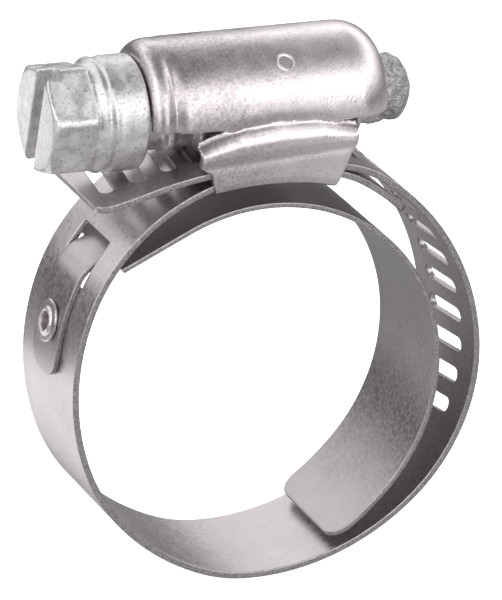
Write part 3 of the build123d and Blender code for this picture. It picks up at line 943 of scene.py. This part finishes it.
# Height of a direction (-1 straight down, +1 straight up) and the grey seen there
SKY = (
    (-1.0, 0.40),
    (-0.55, 0.36),
    (-0.30, 0.48),
    (-0.10, 0.15),
    (0.06, 0.14),
    (0.22, 0.60),
    (0.38, 0.85),
    (0.52, 1.85),
    (0.66, 1.15),
    (0.78, 0.55),
    (0.90, 0.25),
)
FRONT_STRENGTH = 1.15
BACK_STRENGTH = 0.95


def world_light():
    """A white studio: dim ceiling, dark strip at the horizon, and a brighter front than back."""
    world = bpy.data.worlds.new("studio")
    world.use_nodes = True
    tree = world.node_tree
    background = tree.nodes["Background"]
    coordinate = tree.nodes.new("ShaderNodeTexCoord")
    split = tree.nodes.new("ShaderNodeSeparateXYZ")
    depth = tree.nodes.new("ShaderNodeMapRange")
    depth.inputs["From Min"].default_value = -1
    depth.inputs["To Min"].default_value = FRONT_STRENGTH
    depth.inputs["To Max"].default_value = BACK_STRENGTH
    tree.links.new(split.outputs["Y"], depth.inputs["Value"])
    tree.links.new(depth.outputs["Result"], background.inputs["Strength"])
    ramp = tree.nodes.new("ShaderNodeValToRGB")
    spread = tree.nodes.new("ShaderNodeMapRange")
    spread.inputs["From Min"].default_value = -1
    tree.links.new(coordinate.outputs["Generated"], split.inputs[0])
    tree.links.new(split.outputs["Z"], spread.inputs["Value"])
    tree.links.new(spread.outputs["Result"], ramp.inputs["Fac"])
    tree.links.new(ramp.outputs["Color"], background.inputs["Color"])
    elements = ramp.color_ramp.elements
    while len(elements) < len(SKY):
        elements.new(0.5)
    for element, (height, grey) in zip(elements, SKY):
        element.position = (height + 1) / 2
        element.color = (grey, grey, grey, 1)
    bpy.context.scene.world = world


def plain_tones():
    """Show the light as it is, so that the white floor stays white."""
    bpy.context.scene.view_settings.view_transform = "Standard"


def quad(name, corners, emission):
    """A plain rectangle that belongs to the stage."""
    mesh = bpy.data.meshes.new(name)
    mesh.from_pydata(corners, [], [(0, 1, 2, 3)])
    piece = bpy.data.objects.new(name, mesh)
    bpy.context.scene.collection.objects.link(piece)
    n = Nodes(name)
    n.shader.inputs["Roughness"].default_value = 0.9
    n.shader.inputs["Base Color"].default_value = (0.93, 0.93, 0.93, 1)
    n.shader.inputs["Emission Color"].default_value = (1, 1, 1, 1)
    n.shader.inputs["Emission Strength"].default_value = emission
    mesh.materials.append(n.material)
    return piece


def pale_floor():
    """The floor is seen by the camera only; what the metal mirrors is set by the sky and the cards."""
    size = 2.0
    z = cad_low.z - 0.0002
    floor = quad("floor", [(-size, -size, z), (size, -size, z), (size, size, z), (-size, size, z)], 1.05)
    floor.visible_glossy = False
    floor.visible_diffuse = False
    return floor


def card(name, low, high, emission):
    """A bright card behind the object, upright and square to Y, that only the metal mirrors."""
    y = low[1] * MM
    corners = [(low[0], low[2]), (high[0], low[2]), (high[0], high[2]), (low[0], high[2])]
    piece = quad(name, [(x * MM, y, z * MM) for x, z in corners], emission)
    piece.visible_camera = False
    piece.visible_diffuse = False
    piece.visible_shadow = False
    return piece


# Camera: angles in degrees, distance and target in millimetres
CAMERA_AZIMUTH = -24.035
CAMERA_ELEVATION = 21.709
CAMERA_ROLL = 3.067
CAMERA_DISTANCE = 600
CAMERA_TARGET = (1.422, 0, 6.021)
FOCAL_LENGTH = 391.59
SENSOR_WIDTH = 36


def camera():
    """The camera at the photograph's viewing angle."""
    azimuth = math.radians(CAMERA_AZIMUTH)
    elevation = math.radians(CAMERA_ELEVATION)
    roll = math.radians(CAMERA_ROLL)
    back = Vector(
        (
            math.sin(azimuth) * math.cos(elevation),
            -math.cos(azimuth) * math.cos(elevation),
            math.sin(elevation),
        )
    )
    side = Vector((0, 0, 1)).cross(back).normalized()
    up = back.cross(side)
    right = side * math.cos(roll) + up * math.sin(roll)
    top = up * math.cos(roll) - side * math.sin(roll)
    data = bpy.data.cameras.new("camera")
    data.sensor_width = SENSOR_WIDTH
    data.lens = FOCAL_LENGTH
    data.clip_start = 0.05
    data.clip_end = 10
    eye = bpy.data.objects.new("camera", data)
    turn = Matrix((right, top, back)).transposed().to_4x4()
    eye.matrix_world = Matrix.Translation((Vector(CAMERA_TARGET) + back * CAMERA_DISTANCE) * MM) @ turn
    bpy.context.scene.collection.objects.link(eye)
    bpy.context.scene.camera = eye


def dress(piece, material):
    """Give a piece its one material."""
    piece.data.materials.clear()
    piece.data.materials.append(material)


band_steel = rolled_steel("band_steel", 0.62, 0.47, 0.34, 0.6)
anchor_half = band_half("band_anchor_strip", -1)
dress(anchor_half, band_steel)
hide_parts("band_anchor_half")
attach(anchor_half, "clamp_frame")

slotted_half = band_half("band_slotted_strip", 1)
dress(slotted_half, band_steel)
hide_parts("band_slotted_half")
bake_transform(slotted_half)

liner = inner_liner()
# The liner's greys are darker than the band's: partly its own darker steel, partly painted shade for the
# shaded inside of the loop.
dress(liner, rolled_steel("liner_steel", 0.5, 0.38, 0.36, 0.6))
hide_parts("liner")
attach(liner, "clamp_frame")

screw = worm_screw()
dress(screw, plated_zinc("screw_zinc"))
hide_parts("worm_screw")
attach(screw, "worm")

housing = housing_shell()
dress(housing, pressed_steel("housing_steel"))
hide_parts("housing")
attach(housing, "clamp_frame")

rivet = rolled_rivet()
dress(rivet, pressed_steel("rivet_steel"))
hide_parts("hollow_rivet")
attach(rivet, "clamp_frame")

pale_floor()
world_light()
plain_tones()
card("left_card", (-90, 30, -70), (-16, 30, -9), 0.62)
card("head_card", (-34, 15, 13), (-23, 15, 27), 0.6)
area_light("front_softbox", (0.1, -1.0, 0.25), 0.5, 0.35, 0.45)
area_light("left_softbox", (-1.0, -0.2, 0.2), 0.5, 0.3, 0.5)
camera()
